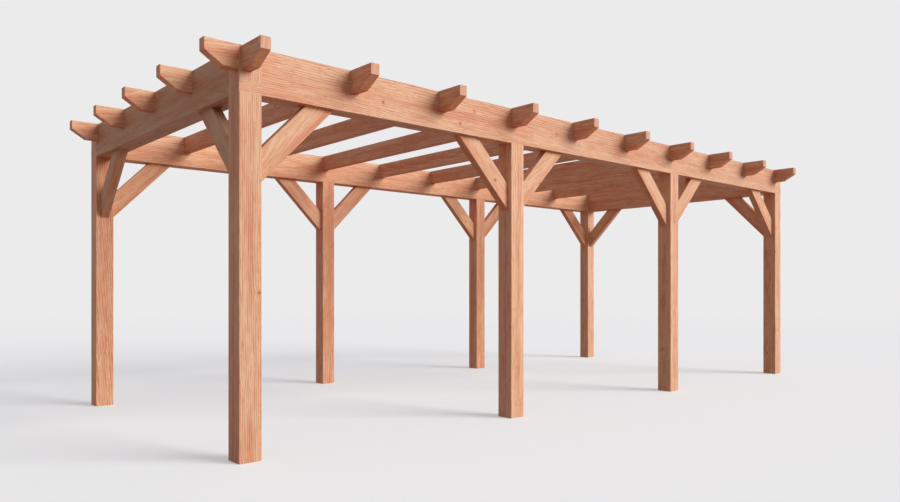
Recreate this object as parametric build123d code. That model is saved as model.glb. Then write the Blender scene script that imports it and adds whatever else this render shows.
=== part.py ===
from build123d import *
from math import cos, radians, tan
import os

os.makedirs("parts", exist_ok=True)

# An open timber patio cover: two rows of posts, a beam round the top, rafters across it with cut tails.
# Millimetres. X runs along the cover, the front row is on -Y, the left end on -X, and Z is up from the ground.
# The origin is the middle of the plan at ground level.

# The frame, over the outside faces of the posts
length = 7300.0
width = 3040.0
height = 2545.0
bays = 3

# Squared timber sections: posts, beams as wide as the posts, and one section for rafters, tails and braces
post_side = 150.0
beam_depth = 285.0
light_width = 70.0
light_depth = 150.0

# The bevel that eases the long arrises, and the play in every joint that isn't a bearing
arris = 3.0
play = 0.5

# Cut tails: how far they pass the beam face, the level underside before the cut, the upright nose
tail_reach = 235.0
end_tail_reach = 220.0
tail_flat = 100.0
tail_nose = 74.0

# Rafter places along the cover, counted with the short tails at the corners
rafter_places = 10
first_rafter_inset = 20.0
last_rafter_inset = 110.0

# Short tails across each end, from the outside of one corner post to the inside of the other
end_tails = 5

# Knee braces: how far below the beam their upper edge leaves the post, and their slope from level
brace_drop = 336.0
brace_angle = 45.0

# The tongue under each end of a long beam, let into the outside face of the corner post
tongue_height = 65.0
tongue_thickness = 50.0

# Hidden tenons: on the inner posts, on the end beams, and on both ends of a brace
post_tenon_width = 100.0
post_tenon_thickness = 50.0
post_tenon_height = 70.0
beam_tenon_thickness = 50.0
beam_tenon_shoulder = 45.0
beam_tenon_length = 40.0
brace_tenon_thickness = 24.0
brace_tenon_length = 30.0

half_length = length / 2
half_width = width / 2
half_post = post_side / 2
beam_underside = height - beam_depth
row_line = half_width - half_post
end_line = half_length - half_post
bay_pitch = (length - post_side) / bays
halving = light_depth / 2
brace_cut = light_depth / cos(radians(brace_angle))

UPRIGHT = (Align.CENTER, Align.CENTER, Align.MIN)


def squared_timber(size_x, size_y, size_z, run):
    """A squared timber standing on the XY plane, with the arrises along its run eased."""
    blank = Box(size_x, size_y, size_z, align=UPRIGHT)
    return chamfer(blank.edges().filter_by(run), arris)


def brace_tenons(clearance):
    """The two tenons of a knee brace, or with clearance their mortises, from the post face at the origin."""
    thickness = brace_tenon_thickness + 2 * clearance
    reach = brace_tenon_length + clearance
    cut = brace_cut + 2 * clearance
    into_post = Box(reach, thickness, cut, align=(Align.MAX, Align.CENTER, Align.MAX))
    into_beam = Box(cut, thickness, reach, align=UPRIGHT)
    beam_seat = (brace_drop + brace_cut / 2) / tan(radians(brace_angle))
    return Pos(0, 0, clearance - brace_drop) * into_post, Pos(beam_seat) * into_beam


def knee_brace():
    """A brace from a post face at the origin up along +X to the underside of a beam at zero."""
    slope = radians(brace_angle)
    lower_drop = brace_drop + brace_cut
    outline = [(0, -brace_drop), (brace_drop / tan(slope), 0), (lower_drop / tan(slope), 0), (0, -lower_drop)]
    side = Plane.XZ * make_face(Polyline(*outline, close=True))
    blank = extrude(side, amount=light_width / 2, both=True)
    sloping = blank.edges().filter_by(Plane.XZ).filter_by(Axis.X, reverse=True).filter_by(Axis.Z, reverse=True)
    into_post, into_beam = brace_tenons(0)
    return chamfer(sloping, arris) + into_post + into_beam


def corner_post():
    """The front left post: full height, housed for the tongue, mortised for the end beam and two braces."""
    post = squared_timber(post_side, post_side, height, Axis.Z)
    # Beside the beams only the outside arris is eased
    for size_x, size_y in ((post_side - arris, post_side), (post_side, post_side - arris)):
        square = Box(size_x, size_y, beam_depth, align=(Align.MAX, Align.MAX, Align.MIN))
        post += Pos(half_post, half_post, beam_underside) * square
    housing = Box(2 * post_side, 2 * (tongue_thickness + play), tongue_height + play, align=UPRIGHT)
    post -= Pos(0, -half_post, beam_underside) * housing
    post -= Pos(0, half_post) * end_beam_tenon(play)
    into_post = Pos(half_post, 0, beam_underside) * brace_tenons(play)[0]
    return post - into_post - Rot(Z=90) * into_post


def inner_post():
    """A post that stops under the long beam, with a tenon on top and a mortise for a brace on each side."""
    tenon = Box(post_tenon_width, post_tenon_thickness, post_tenon_height, align=UPRIGHT)
    post = squared_timber(post_side, post_side, beam_underside, Axis.Z) + Pos(0, 0, beam_underside) * tenon
    into_post = Pos(half_post, 0, beam_underside) * brace_tenons(play)[0]
    return post - into_post - Rot(Z=180) * into_post


def rafter_lines():
    """The middle of every rafter place along the cover."""
    first = -half_length + first_rafter_inset + light_width / 2
    last = half_length - last_rafter_inset - light_width / 2
    pitch = (last - first) / (rafter_places - 1)
    return [first + place * pitch for place in range(rafter_places)]


def end_tail_lines():
    """The middle of every short tail across the left end, the first flush with the front corner post."""
    first = -half_width + light_width / 2
    last = half_width - post_side - light_width / 2
    pitch = (last - first) / (end_tails - 1)
    return [first + place * pitch for place in range(end_tails)]


def long_beam():
    """A long beam with a tongue at each end, halved from the top for every full rafter."""
    beam = squared_timber(length - 2 * post_side, post_side, beam_depth, Axis.X)
    tongue = Box(length, tongue_thickness, tongue_height, align=(Align.CENTER, Align.MIN, Align.MIN))
    beam += Pos(0, -half_post) * tongue
    slot = Box(light_width + 2 * play, 2 * post_side, 2 * halving)
    for x in rafter_lines()[1:-1]:
        beam -= Pos(x, 0, beam_depth) * slot
    mortise = Box(post_tenon_width + 2 * play, post_tenon_thickness + 2 * play, post_tenon_height + play, align=UPRIGHT)
    into_beam = brace_tenons(play)[1]
    for bay in range(bays):
        left = -end_line + bay * bay_pitch
        beam -= Pos(left + half_post) * into_beam
        beam -= Pos(left + bay_pitch - half_post) * Rot(Z=180) * into_beam
        if bay:
            beam -= Pos(left) * mortise
    return Pos(0, 0, beam_underside) * beam


def end_beam_tenon(clearance):
    """The stub tenon of an end beam, or with clearance its mortise, pointing to -Y from a post face at the origin."""
    thickness = beam_tenon_thickness + 2 * clearance
    depth = beam_depth - 2 * beam_tenon_shoulder + 2 * clearance
    tenon = Box(thickness, beam_tenon_length + clearance, depth, align=(Align.CENTER, Align.MAX, Align.CENTER))
    return Pos(0, 0, height - beam_depth / 2) * tenon


def end_beam():
    """An end beam between two corner posts, tenoned into both and mortised for its two braces."""
    half_span = half_width - post_side
    beam = Pos(0, 0, beam_underside) * squared_timber(post_side, 2 * half_span, beam_depth, Axis.Y)
    into_beam = Pos(0, -half_span, beam_underside) * Rot(Z=90) * brace_tenons(play)[1]
    tenon = Pos(0, -half_span) * end_beam_tenon(0)
    for turn in (0, 180):
        beam += Rot(Z=turn) * tenon
        beam -= Rot(Z=turn) * into_beam
    return beam


def cut_timber(half_span, reach):
    """A level timber along Y, with its top at zero and a cut tail past each end of its span."""
    right = [
        (half_span + reach, 0),
        (half_span + reach, -tail_nose),
        (half_span + tail_flat, -light_depth),
    ]
    left = [(-y, z) for y, z in reversed(right)]
    side = Plane.YZ * make_face(Polyline(*right, *left, close=True))
    blank = extrude(side, amount=light_width / 2, both=True)
    return chamfer(blank.faces().filter_by(Axis.X).edges(), arris)


def rafter():
    """A full rafter, halved from below over both long beams."""
    timber = cut_timber(half_width, tail_reach)
    notch = Box(2 * light_width, post_side + 2 * play, light_depth, align=(Align.CENTER, Align.CENTER, Align.MAX))
    for row in (-row_line, row_line):
        timber -= Pos(0, row, -halving) * notch
    return Pos(0, 0, height) * timber


def short_tail(reach):
    """The end of a rafter sawn off at the beam face, from its seat at the origin out along +Y."""
    behind_seat = 2 * (post_side + reach)
    offcut = Box(2 * light_depth, behind_seat, 4 * light_depth, align=(Align.CENTER, Align.MAX, Align.CENTER))
    return Pos(0, 0, height) * (Pos(0, -half_post) * cut_timber(half_post, reach) - offcut)


def front_row():
    """The front row by name: posts from left to right, the long beam over them and the knee braces."""
    brace = Pos(half_post, 0, beam_underside) * knee_brace()
    pieces = {"long_beam": long_beam()}
    for index in range(bays + 1):
        place = Pos(-end_line + index * bay_pitch)
        if index == 0:
            post = corner_post()
        elif index == bays:
            post = mirror(corner_post(), about=Plane.YZ)
        else:
            post = inner_post()
        pieces[f"post_{index + 1}"] = place * post
        if index < bays:
            pieces[f"brace_{index + 1}_right"] = place * brace
        if index > 0:
            pieces[f"brace_{index + 1}_left"] = place * Rot(Z=180) * brace
    return {name: Pos(0, -row_line) * piece for name, piece in pieces.items()}


def cross_braces():
    """The braces at the corner posts that carry the end beams."""
    brace = Pos(half_post, 0, beam_underside) * knee_brace()
    pieces = {}
    for end, x in (("left", -end_line), ("right", end_line)):
        pieces[f"brace_{end}_end_front"] = Pos(x, -row_line) * Rot(Z=90) * brace
        pieces[f"brace_{end}_end_back"] = Pos(x, row_line) * Rot(Z=-90) * brace
    return pieces


def short_tails():
    """The short tails, a node for each side of the cover. The right end and the back turn the other two round."""
    corner_tail = short_tail(tail_reach)
    end_tail = short_tail(end_tail_reach)
    corners = (rafter_lines()[0], rafter_lines()[-1])
    front = Compound([(Pos(x, -half_width) * Rot(Z=180) * corner_tail).solid() for x in corners])
    left = Compound([(Pos(-half_length, y) * Rot(Z=90) * end_tail).solid() for y in end_tail_lines()])
    return {
        "tails_front": front,
        "tails_left_end": left,
        "tails_back": Rot(Z=180) * front,
        "tails_right_end": Rot(Z=180) * left,
    }


parts = {}
for piece_name, piece in front_row().items():
    parts[f"front_{piece_name}"] = piece
    parts[f"back_{piece_name}"] = mirror(piece, about=Plane.XZ)
for end_name, end_x in (("left", -end_line), ("right", end_line)):
    parts[f"{end_name}_end_beam"] = Pos(end_x) * end_beam()
for number, rafter_x in enumerate(rafter_lines()[1:-1], start=1):
    parts[f"rafter_{number}"] = Pos(rafter_x) * rafter()
parts.update(cross_braces())
parts.update(short_tails())

for node, part in parts.items():
    export_step(part, f"parts/{node}.step")
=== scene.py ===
"""A timber patio cover in sawn and planed redwood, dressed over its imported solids, on a pale studio floor."""

import math
from collections import namedtuple

import bpy
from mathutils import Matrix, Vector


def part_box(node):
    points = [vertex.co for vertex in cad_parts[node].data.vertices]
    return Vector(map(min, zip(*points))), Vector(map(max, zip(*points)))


bl_info = {
    "name": "Timber patio cover",
    "version": (1, 0, 0),
    "blender": (4, 5, 0),
    "location": "3D View > Sidebar > Patio Cover",
    "description": "Dresses an open timber patio cover and sets it on a studio floor",
    "category": "Object",
}

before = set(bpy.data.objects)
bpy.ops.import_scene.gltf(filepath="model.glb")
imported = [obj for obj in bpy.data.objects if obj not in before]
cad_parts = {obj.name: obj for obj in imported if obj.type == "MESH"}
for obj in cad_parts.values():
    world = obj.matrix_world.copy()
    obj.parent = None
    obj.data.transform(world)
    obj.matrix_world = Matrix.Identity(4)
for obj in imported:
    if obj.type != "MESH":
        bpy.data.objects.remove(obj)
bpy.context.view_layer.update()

# Which way the grain runs: the turn that brings the texture's X axis onto it
ALONG_X = (0.0, 0.0, 0.0)
ALONG_Y = (0.0, 0.0, math.radians(90))
ALONG_Z = (0.0, math.radians(-90), 0.0)
BRACE_SLOPE = math.radians(45)

# Width of the rafters, tails and braces, in metres
LIGHT_WIDTH = 0.070

# Steps between the seeds of like pieces, and of the timbers in one row
PIECE_SEED_STEP = 1.37
ROW_SEED_STEP = 2.13

# Each unit of seed carries a timber this far through the noise, so that no two have the same grain
OWN_SHIFT = (7.31, 3.17, 5.73)

# Knots sit in some cells of a coarse pattern, and pin knots in some of a finer one, flattened along the grain
KNOT_CELLS = 7.0
CELLS_WITHOUT_KNOT = 0.66
PIN_CELLS = (27.0, 17.0, 17.0)
CELLS_WITHOUT_PIN = 0.76
FAR_FROM_KNOT = 9.0

# How far the heart of the tree wanders between one timber and the next, in metres
HEART_SPREAD = (0.0, 0.26, 0.26)

# The weakest year's line as a share of the strongest, and the fine lines between one year and the next
WEAKEST_YEAR = 0.45
FINE_LINES = 3.3

# How strongly fine lines and flecks show where the rings don't show at all
LEAST_LINES = 0.40

# What the streaks must add up to before the wood turns redder
STREAK_START = 0.20

# Painted light: how much paler the sloping saw cuts are made, standing in for the low main light that falls on
# them; and how deep the grain stands, in metres
CUT_PAINTED_LIGHT = 0.22
RELIEF_DEPTH = 0.0012

# The floor fades into the backdrop between these shares of its radius
FADE_START = 0.12
FADE_END = 0.5

# Where the photograph was taken from, in metres from the middle of the plan
CAMERA_PLACE = (-5.623, -5.647, 1.064)
CAMERA_HEADING = math.radians(-40.97)
CAMERA_LENS = 29.154
CAMERA_SHIFT = (0.0110, 0.0420)

# How light a timber is against the colours in the settings, and how far it leans to red. Set piece by piece,
# these tones are partly the timber's own and partly painted light and shade.
Shade = namedtuple("Shade", "tone red")


class TimberSettings(bpy.types.PropertyGroup):
    """The colours and the grain of the timber."""

    tan: bpy.props.FloatVectorProperty(
        name="Tan", description="Colour of the pale streaks", subtype="COLOR", size=3, min=0, max=1,
        default=(0.706, 0.447, 0.264),
    )
    pale: bpy.props.FloatVectorProperty(
        name="Earlywood", description="Colour of the pale wood that starts each growth ring",
        subtype="COLOR", size=3, min=0, max=1, default=(0.750, 0.530, 0.342),
    )
    salmon: bpy.props.FloatVectorProperty(
        name="Salmon", description="Colour of the redder streaks", subtype="COLOR", size=3, min=0, max=1,
        default=(0.585, 0.225, 0.112),
    )
    late: bpy.props.FloatVectorProperty(
        name="Latewood", description="Colour of the thin lines of the growth rings",
        subtype="COLOR", size=3, min=0, max=1, default=(0.392, 0.124, 0.060),
    )
    knot: bpy.props.FloatVectorProperty(
        name="Knot", description="Colour of the heart of a knot",
        subtype="COLOR", size=3, min=0, max=1, default=(0.240, 0.080, 0.038),
    )
    end: bpy.props.FloatVectorProperty(
        name="Sawn end", description="Colour of freshly sawn end grain",
        subtype="COLOR", size=3, min=0, max=1, default=(0.600, 0.415, 0.292),
    )
    ring: bpy.props.FloatProperty(
        name="Ring spacing", description="Distance between growth rings in posts and beams",
        unit="LENGTH", default=0.0115, min=0.001,
    )
    contrast: bpy.props.FloatProperty(
        name="Ring contrast", description="How strongly the growth rings show in posts and long beams",
        subtype="FACTOR", default=0.85, min=0, max=1,
    )
    light_ring: bpy.props.FloatProperty(
        name="Light ring spacing", description="Distance between growth rings in rafters, tails and braces",
        unit="LENGTH", default=0.0068, min=0.001,
    )
    light_contrast: bpy.props.FloatProperty(
        name="Light ring contrast", description="How strongly the rings show in rafters, tails and end beams",
        subtype="FACTOR", default=0.5, min=0, max=1,
    )
    brace_contrast: bpy.props.FloatProperty(
        name="Brace ring contrast", description="How strongly the rings show in the knee braces",
        subtype="FACTOR", default=0.35, min=0, max=1,
    )
    heart: bpy.props.FloatVectorProperty(
        name="Heart", description="How far the heart of the tree lies from the middle of a post or a beam",
        subtype="XYZ", size=3, unit="LENGTH", default=(0.0, 0.17, 0.17),
    )
    light_heart: bpy.props.FloatVectorProperty(
        name="Light heart",
        description="How far the heart of the tree lies from the middle of a rafter, tail or brace",
        subtype="XYZ", size=3, unit="LENGTH", default=(0.0, 0.30, 0.07),
    )
    slope: bpy.props.FloatProperty(
        name="Slope of grain", description="How far the grain may run out of line with the timber",
        default=0.08, min=0,
    )
    roughness: bpy.props.FloatProperty(
        name="Roughness", description="Roughness of the planed surface", subtype="FACTOR",
        default=0.62, min=0, max=1,
    )


class StudioSettings(bpy.types.PropertyGroup):
    """The floor, the backdrop and the light."""

    backdrop: bpy.props.FloatVectorProperty(
        name="Backdrop", description="Colour seen behind the cover", subtype="COLOR", size=3, min=0, max=1,
        default=(0.838, 0.832, 0.838),
    )
    floor: bpy.props.FloatVectorProperty(
        name="Floor", description="Colour of the floor as it is seen", subtype="COLOR", size=3, min=0, max=1,
        default=(0.982, 0.984, 0.945),
    )
    floor_bounce: bpy.props.FloatVectorProperty(
        name="Floor bounce", description="Colour of the light that the floor throws back on the timber",
        subtype="COLOR", size=3, min=0, max=1, default=(0.360, 0.200, 0.155),
    )
    sky: bpy.props.FloatVectorProperty(
        name="Sky", description="Colour of the even light from all round",
        subtype="COLOR", size=3, min=0, max=1, default=(0.410, 0.410, 0.466),
    )
    sun: bpy.props.FloatProperty(
        name="Sun", description="Strength of the soft main light", default=3.4, min=0,
    )
    sun_height: bpy.props.FloatProperty(
        name="Sun height", description="Height of the main light above the floor", subtype="ANGLE",
        default=math.radians(22),
    )
    sun_heading: bpy.props.FloatProperty(
        name="Sun heading", description="Turn of the main light from straight at the front", subtype="ANGLE",
        default=math.radians(33),
    )
    sun_softness: bpy.props.FloatProperty(
        name="Sun softness", description="Width of the main light as seen from the cover", subtype="ANGLE",
        default=math.radians(38),
    )
    shadow_lift: bpy.props.FloatProperty(
        name="Shadow lift", description="Share of the backdrop's own light in the floor as it is seen",
        subtype="FACTOR", default=0.33, min=0, max=1,
    )
    floor_radius: bpy.props.FloatProperty(
        name="Floor radius", description="Distance from the cover at which the floor ends",
        unit="LENGTH", default=60.0, min=10.0,
    )


class Graph:
    """Adds nodes to a node tree and wires them as they are made."""

    def __init__(self, tree):
        self.tree = tree

    def give(self, socket, value):
        """Wires a socket of another node to this one, or sets a plain value on it."""
        if isinstance(value, bpy.types.NodeSocket):
            self.tree.links.new(value, socket)
        else:
            socket.default_value = value

    def add(self, kind, inputs=(), **settings):
        """A node of one kind, with its inputs by name or number."""
        made = self.tree.nodes.new(kind)
        for key, value in settings.items():
            setattr(made, key, value)
        for key, value in dict(inputs).items():
            self.give(made.inputs[key], value)
        return made

    def parts(self, vector):
        return self.add("ShaderNodeSeparateXYZ", {0: vector}).outputs

    def join(self, *values):
        return self.add("ShaderNodeCombineXYZ", dict(enumerate(values))).outputs[0]

    def math(self, operation, *values, clamp=False):
        inputs = dict(enumerate(values))
        return self.add("ShaderNodeMath", inputs, operation=operation, use_clamp=clamp).outputs[0]

    def times(self, first, *others):
        for other in others:
            first = self.math("MULTIPLY", first, other)
        return first

    def vector(self, operation, *values):
        made = self.add("ShaderNodeVectorMath", dict(enumerate(values)), operation=operation)
        return made.outputs["Value" if operation == "LENGTH" else "Vector"]

    def toss(self, value, kind):
        """A random Value or Color, always the same one for the same value."""
        return self.add("ShaderNodeTexWhiteNoise", {"W": value}, noise_dimensions="1D").outputs[kind]

    def cells(self, vector, scale):
        """Random cells, so many a metre, each with a Color of its own and the Distance from its seed."""
        return self.add("ShaderNodeTexVoronoi", {"Vector": vector, "Scale": scale}).outputs

    def noise(self, vector, stretch, detail=2.0, rough=0.5):
        """A noise with so many waves a metre along each axis."""
        scaled = self.vector("MULTIPLY", vector, stretch)
        inputs = {"Vector": scaled, "Scale": 1.0, "Detail": detail, "Roughness": rough}
        return self.add("ShaderNodeTexNoise", inputs).outputs["Fac"]

    def ramp(self, value, low, high, to_low=0.0, to_high=1.0):
        """A smooth step between two values, flat outside them."""
        inputs = {"Value": value, "From Min": low, "From Max": high, "To Min": to_low, "To Max": to_high}
        return self.add("ShaderNodeMapRange", inputs, interpolation_type="SMOOTHSTEP").outputs["Result"]

    def patches(self, vector, along, across, low, high, least=0.0, detail=2.0):
        """Patches of noise drawn out along the grain, from the least where it is low up to one."""
        return self.ramp(self.noise(vector, (along, across, across), detail), low, high, least)

    def swing(self, vector, along, across, reach):
        """A noise drawn out along the grain that swings to both sides of nought."""
        noise = self.noise(vector, (along, across, across))
        return self.times(self.math("SUBTRACT", noise, 0.5), reach)

    def mix(self, factor, a, b, blend="MIX"):
        made = self.add("ShaderNodeMix", data_type="RGBA", blend_type=blend)
        for name, value in (("Factor_Float", factor), ("A_Color", a), ("B_Color", b)):
            self.give(next(s for s in made.inputs if s.identifier == name), value)
        return next(s for s in made.outputs if s.identifier == "Result_Color")


def knots(g, own):
    """The knots, the redder wood round them, and how far the rings bend round them, in metres."""
    # The distance from a knot is in cells of the pattern
    cells = g.cells(own, KNOT_CELLS)
    empty = g.math("LESS_THAN", g.parts(cells["Color"])[0], CELLS_WITHOUT_KNOT)
    away = g.math("ADD", cells["Distance"], g.times(empty, FAR_FROM_KNOT))
    knot = g.ramp(away, 0.045, 0.080, 1.0, 0.0)
    halo = g.ramp(away, 0.070, 0.240, 0.9, 0.0)
    bend = g.ramp(away, 0.03, 0.45, 0.011, 0.0)
    return knot, halo, bend


def pin_knots(g, own):
    """Pin knots, smaller than the others and more of them."""
    cells = g.cells(g.vector("MULTIPLY", own, PIN_CELLS), 1.0)
    filled = g.math("GREATER_THAN", g.parts(cells["Color"])[0], CELLS_WITHOUT_PIN)
    return g.times(filled, g.ramp(cells["Distance"], 0.06, 0.17, 1.0, 0.0))


def growth_rings(g, given, place, own, toss, bend):
    """The count of years out from the heart, and the late and the early wood of each year."""
    # Each timber is cut clear of the heart, which lies off one of its corners or sides
    nearest = g.vector("MULTIPLY", g.vector("SIGN", toss), given["Heart"])
    heart = g.vector("ADD", nearest, g.vector("MULTIPLY", toss, HEART_SPREAD))
    across = g.vector("MULTIPLY", g.vector("SUBTRACT", place, heart), (0.0, 1.0, 1.0))
    radius = g.math("ADD", g.vector("LENGTH", across), bend)
    wave = g.swing(own, along=0.7, across=5.0, reach=2.8)
    ripple = g.swing(own, along=7.0, across=40.0, reach=0.52)
    year = g.math("ADD", g.math("DIVIDE", radius, given["Ring"]), g.math("ADD", wave, ripple))

    # The line darkens slowly through the year and ends sharply, weaker in some years and in some places
    turn = g.math("FRACT", year)
    line = g.times(g.ramp(turn, 0.25, 0.88), g.ramp(turn, 0.90, 1.0, 1.0, 0.0))
    each_year = g.toss(g.math("FLOOR", year), "Value")
    strength = g.math("ADD", WEAKEST_YEAR, g.times(each_year, 1.0 - WEAKEST_YEAR))
    thinning = g.patches(own, along=4.0, across=45.0, low=0.32, high=0.58, least=0.25)
    late = g.times(line, strength, thinning, given["Contrast"])
    early = g.times(g.ramp(turn, 0.0, 0.30, 1.0, 0.0), given["Contrast"])
    return year, late, early


def red_streaks(g, given, own, late, halo, lines):
    """How far the wood turns from tan to salmon, in streaks, along the middle of each face and by knots."""
    broad = g.patches(own, along=1.2, across=12.0, low=0.40, high=0.62)
    blotch = g.patches(own, along=5.0, across=30.0, low=0.46, high=0.68)
    narrow = g.times(g.patches(own, along=8.0, across=120.0, low=0.37, high=0.63), lines)
    beside = g.parts(g.vector("ABSOLUTE", given["Place"]))
    middle = g.times(
        g.ramp(g.math("MINIMUM", beside[1], beside[2]), 0.004, 0.040, 1.0, 0.0),
        g.patches(own, along=2.2, across=9.0, low=0.35, high=0.62, least=0.25, detail=1.0),
    )
    streak = given["Red"]
    for pattern, share in ((broad, 0.38), (narrow, 0.46), (middle, 0.40), (blotch, 0.36), (late, 0.50)):
        streak = g.math("ADD", streak, g.times(pattern, share))
    return g.math("MAXIMUM", g.math("SUBTRACT", streak, STREAK_START), halo, clamp=True)


def timber_group():
    """The grain of one squared timber, worked out in its own space with X along the grain, in metres."""
    wood = bpy.context.scene.timber
    group = bpy.data.node_groups.new("timber grain", "ShaderNodeTree")
    sockets = {
        "INPUT": {
            "Place": "Vector", "Facing": "Vector", "Seed": "Float", "Tone": "Float", "Red": "Float",
            "Heart": "Vector", "Ring": "Float", "Contrast": "Float",
        },
        "OUTPUT": {"Color": "Color", "Roughness": "Float", "Height": "Float"},
    }
    for side, kinds in sockets.items():
        for name, kind in kinds.items():
            group.interface.new_socket(name, in_out=side, socket_type=f"NodeSocket{kind}")
    g = Graph(group)
    given = g.add("NodeGroupInput").outputs
    toss = g.vector("SUBTRACT", g.toss(given["Seed"], "Color"), (0.5, 0.5, 0.5))

    # The grain runs a little out of line with the timber, another way in each
    drift = g.times(g.parts(given["Place"])[0], g.times(g.parts(toss)[0], wood.slope))
    place = g.vector("ADD", given["Place"], g.join(0.0, drift, drift))
    shift = g.join(*(g.times(given["Seed"], step) for step in OWN_SHIFT))
    own = g.vector("ADD", place, shift)

    knot, halo, bend = knots(g, own)
    pin = pin_knots(g, own)
    year, late, early = growth_rings(g, given, place, own, toss, bend)

    # Fine lines within the year and patches of short dark flecks, both fainter with faint rings, and fibres
    lines = g.math("ADD", LEAST_LINES, g.times(given["Contrast"], 1.0 - LEAST_LINES))
    fine = g.times(g.ramp(g.math("PINGPONG", g.times(year, FINE_LINES), 0.5), 0.1, 0.5), lines)
    flecked = g.patches(own, along=3.0, across=18.0, low=0.40, high=0.60, detail=1.0)
    fleck = g.patches(own, along=26.0, across=190.0, low=0.58, high=0.70, detail=1.0)
    fleck = g.times(fleck, lines, flecked)
    fibre = g.noise(own, (16.0, 420.0, 420.0), rough=0.6)

    # Which way the surface faces: a sawn end across the grain, a sloping cut, or an eased arris
    turned = g.parts(g.vector("ABSOLUTE", given["Facing"]))
    end = g.ramp(turned[0], 0.60, 0.95)
    cut = g.times(g.ramp(turned[0], 0.30, 0.48), g.ramp(turned[0], 0.60, 0.90, 1.0, 0.0))
    arris = g.ramp(g.math("MINIMUM", turned[1], turned[2]), 0.45, 0.65)
    stripe = g.times(end, g.ramp(g.noise(own, (1.0, 95.0, 7.0), detail=1.0), 0.42, 0.58))

    # Each of these covers the wood under it by its own share
    tan, pale, salmon, latewood, dark, sawn = (
        (*colour, 1.0) for colour in (wood.tan, wood.pale, wood.salmon, wood.late, wood.knot, wood.end)
    )
    body = g.mix(red_streaks(g, given, own, late, halo, lines), tan, salmon)
    for pattern, share, colour in (
        (early, 0.60, pale), (late, 0.78, latewood), (fine, 0.22, latewood), (fleck, 0.60, latewood),
        (knot, 0.75, dark), (pin, 0.50, latewood), (end, 0.70, sawn), (stripe, 0.60, salmon),
        (arris, 0.30, tan),
    ):
        body = g.mix(g.times(pattern, share), body, colour)
    tone = g.times(given["Tone"], g.ramp(fibre, 0.25, 0.75, 0.91, 1.09))
    # Painted light: the sloping cuts are made paler, as if lit by the low main light
    tone = g.times(tone, g.math("ADD", 1.0, g.times(cut, CUT_PAINTED_LIGHT)))
    body = g.mix(1.0, body, g.join(tone, tone, tone), "MULTIPLY")

    rough = g.math("ADD", wood.roughness, g.times(g.math("SUBTRACT", fibre, late), 0.10))
    rough = g.math("ADD", rough, g.times(end, 0.15), clamp=True)
    raised = g.math("ADD", g.times(late, 0.55), g.times(fibre, 0.45))
    height = g.math("SUBTRACT", raised, g.times(g.math("ADD", knot, fleck), 0.5))
    g.add("NodeGroupOutput", {"Color": body, "Roughness": rough, "Height": height})
    return group


def own_timber(g, place, seed, low, high, count):
    """The place and the seed of each timber in a row of like ones that share a node."""
    pitch = (max(high - low) - LIGHT_WIDTH) / (count - 1)
    middle = (count - 1) / 2
    number = g.math("ROUND", g.math("ADD", g.math("DIVIDE", g.parts(place)[1], pitch), middle))
    off = g.times(g.math("SUBTRACT", number, middle), pitch)
    place = g.vector("SUBTRACT", place, g.join(0.0, off, 0.0))
    return place, g.math("ADD", g.times(number, ROW_SEED_STEP), seed)


def dress(node, grain, seed, shade, rings, count):
    """Gives a solid, or a row of like ones, timber whose grain runs the way that grain turns the X axis."""
    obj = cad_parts[node]
    low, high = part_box(node)
    group = bpy.data.node_groups.get("timber grain") or timber_group()
    material = bpy.data.materials.new(f"timber {node}")
    material.use_nodes = True
    material.node_tree.nodes.clear()
    g = Graph(material.node_tree)
    spot = g.add("ShaderNodeTexCoord").outputs
    from_middle = {"Vector": spot["Object"], "Location": (low + high) / 2, "Rotation": grain}
    place = g.add("ShaderNodeMapping", from_middle, vector_type="TEXTURE").outputs[0]
    outward = {"Vector": spot["Normal"], "Rotation": grain}
    facing = g.add("ShaderNodeMapping", outward, vector_type="TEXTURE").outputs[0]
    if count > 1:
        place, seed = own_timber(g, place, seed, low, high, count)
    inputs = {"Place": place, "Facing": facing, "Seed": seed, "Tone": shade.tone, "Red": shade.red, **rings}
    grown = g.add("ShaderNodeGroup", node_tree=group)
    for name, value in inputs.items():
        g.give(grown.inputs[name], value)
    relief = {"Height": grown.outputs["Height"], "Strength": 0.35, "Distance": RELIEF_DEPTH}
    shader = g.add("ShaderNodeBsdfPrincipled", {
        "Base Color": grown.outputs["Color"],
        "Roughness": grown.outputs["Roughness"],
        "Normal": g.add("ShaderNodeBump", relief).outputs[0],
        "Specular IOR Level": 0.30,
    })
    g.add("ShaderNodeOutputMaterial", {"Surface": shader.outputs[0]})
    obj.data.materials.clear()
    obj.data.materials.append(material)


def dress_all(names, grain, first_seed, rings, shade, own_shades=None, count=1):
    """Dresses like pieces, each with its own seed, in one shade apart from those that have their own."""
    if not names:
        raise RuntimeError("no such piece in the frame")
    for index, name in enumerate(sorted(names)):
        turn = grain(name) if callable(grain) else grain
        own_shade = (own_shades or {}).get(name, shade)
        dress(name, turn, first_seed + PIECE_SEED_STEP * index, own_shade, rings, count)


def brace_grain(node):
    """The turn of the texture onto a knee brace, which leans away from its post."""
    low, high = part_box(node)
    size = high - low
    if size.x > size.y:
        side = -1 if node.endswith("left") else 1
        return (0.0, -side * BRACE_SLOPE, 0.0)
    side = -math.copysign(1.0, low.y + high.y)
    return (0.0, -BRACE_SLOPE, side * math.radians(90))


def heavy_rings():
    """The growth rings of posts and beams."""
    wood = bpy.context.scene.timber
    return {"Heart": wood.heart, "Ring": wood.ring, "Contrast": wood.contrast}


def light_rings():
    """The growth rings of rafters and tails, sawn so that they lie along the wide faces."""
    wood = bpy.context.scene.timber
    return {"Heart": wood.light_heart, "Ring": wood.light_ring, "Contrast": wood.light_contrast}


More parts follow.
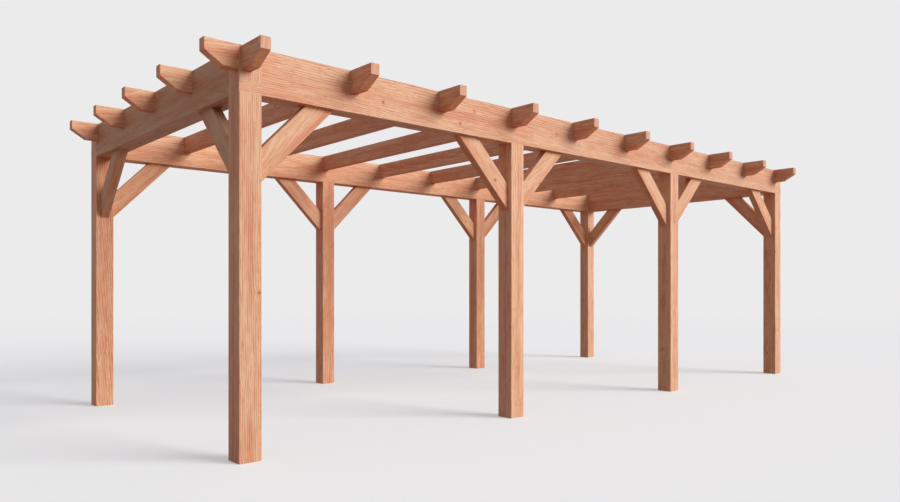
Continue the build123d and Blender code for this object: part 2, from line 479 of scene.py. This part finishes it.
class PATIO_OT_posts(bpy.types.Operator):
    """Dress the posts, with the grain upright."""

    bl_idname = "patio.posts"
    bl_label = "Posts"

    def execute(self, context):
        posts = [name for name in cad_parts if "_post_" in name]
        shade = Shade(tone=1.04, red=-0.18)
        # Painted light and shade: the near post is darker, painting shade on it, and back posts 1 to 3 are
        # lighter and redder, painting light and warm shade on their partly shaded faces.
        own_shades = {f"back_post_{number}": Shade(tone=1.16, red=0.24) for number in (1, 2, 3)}
        own_shades["front_post_1"] = Shade(tone=0.96, red=-0.02)
        dress_all(posts, ALONG_Z, first_seed=1.0, rings=heavy_rings(), shade=shade, own_shades=own_shades)
        return {"FINISHED"}


class PATIO_OT_long_beams(bpy.types.Operator):
    """Dress the two long beams, with the grain along the cover."""

    bl_idname = "patio.long_beams"
    bl_label = "Long beams"

    def execute(self, context):
        beams = [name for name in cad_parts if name.endswith("long_beam")]
        shade = Shade(tone=1.0, red=0.02)
        # Painted light: the back long beam is lighter and redder, painting light on a face that the rafters'
        # shadows cover in part.
        own_shades = {"back_long_beam": Shade(tone=1.13, red=0.12)}
        dress_all(beams, ALONG_X, first_seed=21.0, rings=heavy_rings(), shade=shade, own_shades=own_shades)
        return {"FINISHED"}


class PATIO_OT_end_beams(bpy.types.Operator):
    """Dress the end beams, with the grain across the cover."""

    bl_idname = "patio.end_beams"
    bl_label = "End beams"

    def execute(self, context):
        beams = [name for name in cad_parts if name.endswith("end_beam")]
        rings = {**heavy_rings(), "Contrast": context.scene.timber.light_contrast}
        # Painted shade and light: the left end beam is darker, painting shade on its shaded outer face, and the
        # right end beam lighter and redder, painting light and warm shade on its shaded inner face.
        shade = Shade(tone=0.74, red=0.0)
        own_shades = {"right_end_beam": Shade(tone=1.02, red=0.28)}
        dress_all(beams, ALONG_Y, first_seed=31.0, rings=rings, shade=shade, own_shades=own_shades)
        return {"FINISHED"}


class PATIO_OT_rafters(bpy.types.Operator):
    """Dress the full rafters, with the grain across the cover."""

    bl_idname = "patio.rafters"
    bl_label = "Rafters"

    def execute(self, context):
        rafters = [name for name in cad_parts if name.startswith("rafter_")]
        # Partly painted light: the rafters, the first most of all, are redder, partly their own tone and partly
        # painted warm bounce light on their shaded sides.
        shade = Shade(tone=1.03, red=0.30)
        own_shades = {"rafter_1": Shade(tone=1.03, red=0.42)}
        dress_all(rafters, ALONG_Y, first_seed=41.0, rings=light_rings(), shade=shade, own_shades=own_shades)
        return {"FINISHED"}


class PATIO_OT_short_tails(bpy.types.Operator):
    """Dress the short tails at the corners and across the ends."""

    bl_idname = "patio.short_tails"
    bl_label = "Short tails"

    def execute(self, context):
        rings = light_rings()
        corners = ["tails_front", "tails_back"]
        shade = Shade(tone=1.0, red=0.20)
        dress_all(corners, ALONG_Y, first_seed=61.0, rings=rings, shade=shade, count=2)
        ends = ["tails_left_end", "tails_right_end"]
        shade = Shade(tone=1.05, red=0.20)
        dress_all(ends, ALONG_X, first_seed=71.0, rings=rings, shade=shade, count=5)
        return {"FINISHED"}


class PATIO_OT_knee_braces(bpy.types.Operator):
    """Dress the knee braces, with the grain up their slope."""

    bl_idname = "patio.knee_braces"
    bl_label = "Knee braces"

    def execute(self, context):
        braces = [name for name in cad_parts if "brace_" in name]
        rings = {**light_rings(), "Contrast": context.scene.timber.brace_contrast}
        shade = Shade(tone=1.0, red=-0.06)
        # Painted shade and light: the two braces at the left end are darker, painting shade on them, and the
        # back row is lighter and redder, painting light and warm shade on them.
        own_shades = {
            "brace_left_end_front": Shade(tone=0.80, red=0.0),
            "brace_left_end_back": Shade(tone=0.80, red=0.0),
            "front_brace_1_right": Shade(tone=0.97, red=0.18),
            "front_brace_2_left": Shade(tone=1.0, red=0.10),
        }
        for bay in (1, 2, 3):
            own_shades[f"back_brace_{bay}_right"] = Shade(tone=1.18, red=0.24)
            own_shades[f"back_brace_{bay + 1}_left"] = Shade(tone=1.12, red=0.22)
        dress_all(braces, brace_grain, first_seed=81.0, rings=rings, shade=shade, own_shades=own_shades)
        return {"FINISHED"}


def seen_ray(g):
    """One for rays that a person follows, straight or off gloss or through glass, and nought for the rest."""
    path = g.add("ShaderNodeLightPath").outputs
    glossy = g.math("MAXIMUM", path["Is Glossy Ray"], path["Is Transmission Ray"])
    return g.math("MAXIMUM", path["Is Camera Ray"], glossy)


def backdrop(studio):
    """A pale backdrop that lights the cover with a dimmer, even sky."""
    world = bpy.data.worlds.new("studio backdrop")
    bpy.context.scene.world = world
    world.use_nodes = True
    world.node_tree.nodes.clear()
    g = Graph(world.node_tree)
    colour = g.mix(seen_ray(g), (*studio.sky, 1.0), (*studio.backdrop, 1.0))
    background = g.add("ShaderNodeBackground", {"Color": colour, "Strength": 1.0})
    g.add("ShaderNodeOutputWorld", {"Surface": background.outputs[0]})


def floor_material(studio):
    """A pale matt floor that keeps the shadows and fades into the backdrop away from the cover."""
    material = bpy.data.materials.new("studio floor")
    material.use_nodes = True
    material.node_tree.nodes.clear()
    g = Graph(material.node_tree)
    seen = seen_ray(g)
    colour = g.mix(seen, (*studio.floor_bounce, 1.0), (*studio.floor, 1.0))
    matt = g.add("ShaderNodeBsdfDiffuse", {"Color": colour}).outputs[0]
    far = g.add("ShaderNodeEmission", {"Color": (*studio.backdrop, 1.0), "Strength": 1.0}).outputs[0]
    away = g.vector("LENGTH", g.add("ShaderNodeTexCoord").outputs["Object"])
    start, stop = (share * studio.floor_radius for share in (FADE_START, FADE_END))
    fade = g.times(g.ramp(away, start, stop, studio.shadow_lift), seen)
    surface = g.add("ShaderNodeMixShader", {0: fade, 1: matt, 2: far}).outputs[0]
    g.add("ShaderNodeOutputMaterial", {"Surface": surface})
    return material


def lay_floor(studio):
    """A round floor at ground level."""
    bpy.ops.mesh.primitive_circle_add(vertices=64, radius=studio.floor_radius, fill_type="NGON")
    floor = bpy.context.object
    floor.name = "floor"
    floor.data.materials.append(floor_material(studio))


def hang_light(studio):
    """One large soft light, low down in front of the cover and to its right."""
    sun = bpy.data.lights.new("main light", "SUN")
    sun.energy = studio.sun
    sun.angle = studio.sun_softness
    lamp = bpy.data.objects.new("main light", sun)
    bpy.context.scene.collection.objects.link(lamp)
    lamp.rotation_euler = (math.radians(90) - studio.sun_height, 0.0, studio.sun_heading)


def set_camera():
    """A level camera, with the little shift that the framing needs."""
    lens = bpy.data.cameras.new("camera")
    lens.lens = CAMERA_LENS
    lens.shift_x, lens.shift_y = CAMERA_SHIFT
    camera = bpy.data.objects.new("camera", lens)
    bpy.context.scene.collection.objects.link(camera)
    camera.location = CAMERA_PLACE
    camera.rotation_euler = (math.radians(90), 0.0, CAMERA_HEADING)
    bpy.context.scene.camera = camera


class PATIO_OT_studio(bpy.types.Operator):
    """Set the backdrop, the floor, the light and the camera."""

    bl_idname = "patio.studio"
    bl_label = "Studio"

    def execute(self, context):
        studio = context.scene.studio
        backdrop(studio)
        lay_floor(studio)
        hang_light(studio)
        set_camera()
        context.scene.view_settings.view_transform = "Standard"
        return {"FINISHED"}


OPERATORS = (
    PATIO_OT_posts,
    PATIO_OT_long_beams,
    PATIO_OT_end_beams,
    PATIO_OT_rafters,
    PATIO_OT_short_tails,
    PATIO_OT_knee_braces,
    PATIO_OT_studio,
)


class PATIO_PT_panel(bpy.types.Panel):
    """Lists the settings and the pieces of the patio cover."""

    bl_idname = "PATIO_PT_panel"
    bl_label = "Patio Cover"
    bl_space_type = "VIEW_3D"
    bl_region_type = "UI"
    bl_category = "Patio Cover"

    def draw(self, context):
        for settings in (context.scene.timber, context.scene.studio):
            for name in type(settings).__annotations__:
                self.layout.prop(settings, name)
        for operator in OPERATORS:
            self.layout.operator(operator.bl_idname)


def register():
    for settings in (TimberSettings, StudioSettings):
        bpy.utils.register_class(settings)
    bpy.types.Scene.timber = bpy.props.PointerProperty(type=TimberSettings)
    bpy.types.Scene.studio = bpy.props.PointerProperty(type=StudioSettings)
    for made in (*OPERATORS, PATIO_PT_panel):
        bpy.utils.register_class(made)


def unregister():
    for made in (PATIO_PT_panel, *reversed(OPERATORS)):
        bpy.utils.unregister_class(made)
    del bpy.types.Scene.studio
    del bpy.types.Scene.timber
    for settings in (StudioSettings, TimberSettings):
        bpy.utils.unregister_class(settings)


def main():
    register()
    for operator in OPERATORS:
        group, name = operator.bl_idname.split(".")
        getattr(getattr(bpy.ops, group), name)()


if __name__ == "__main__":
    main()
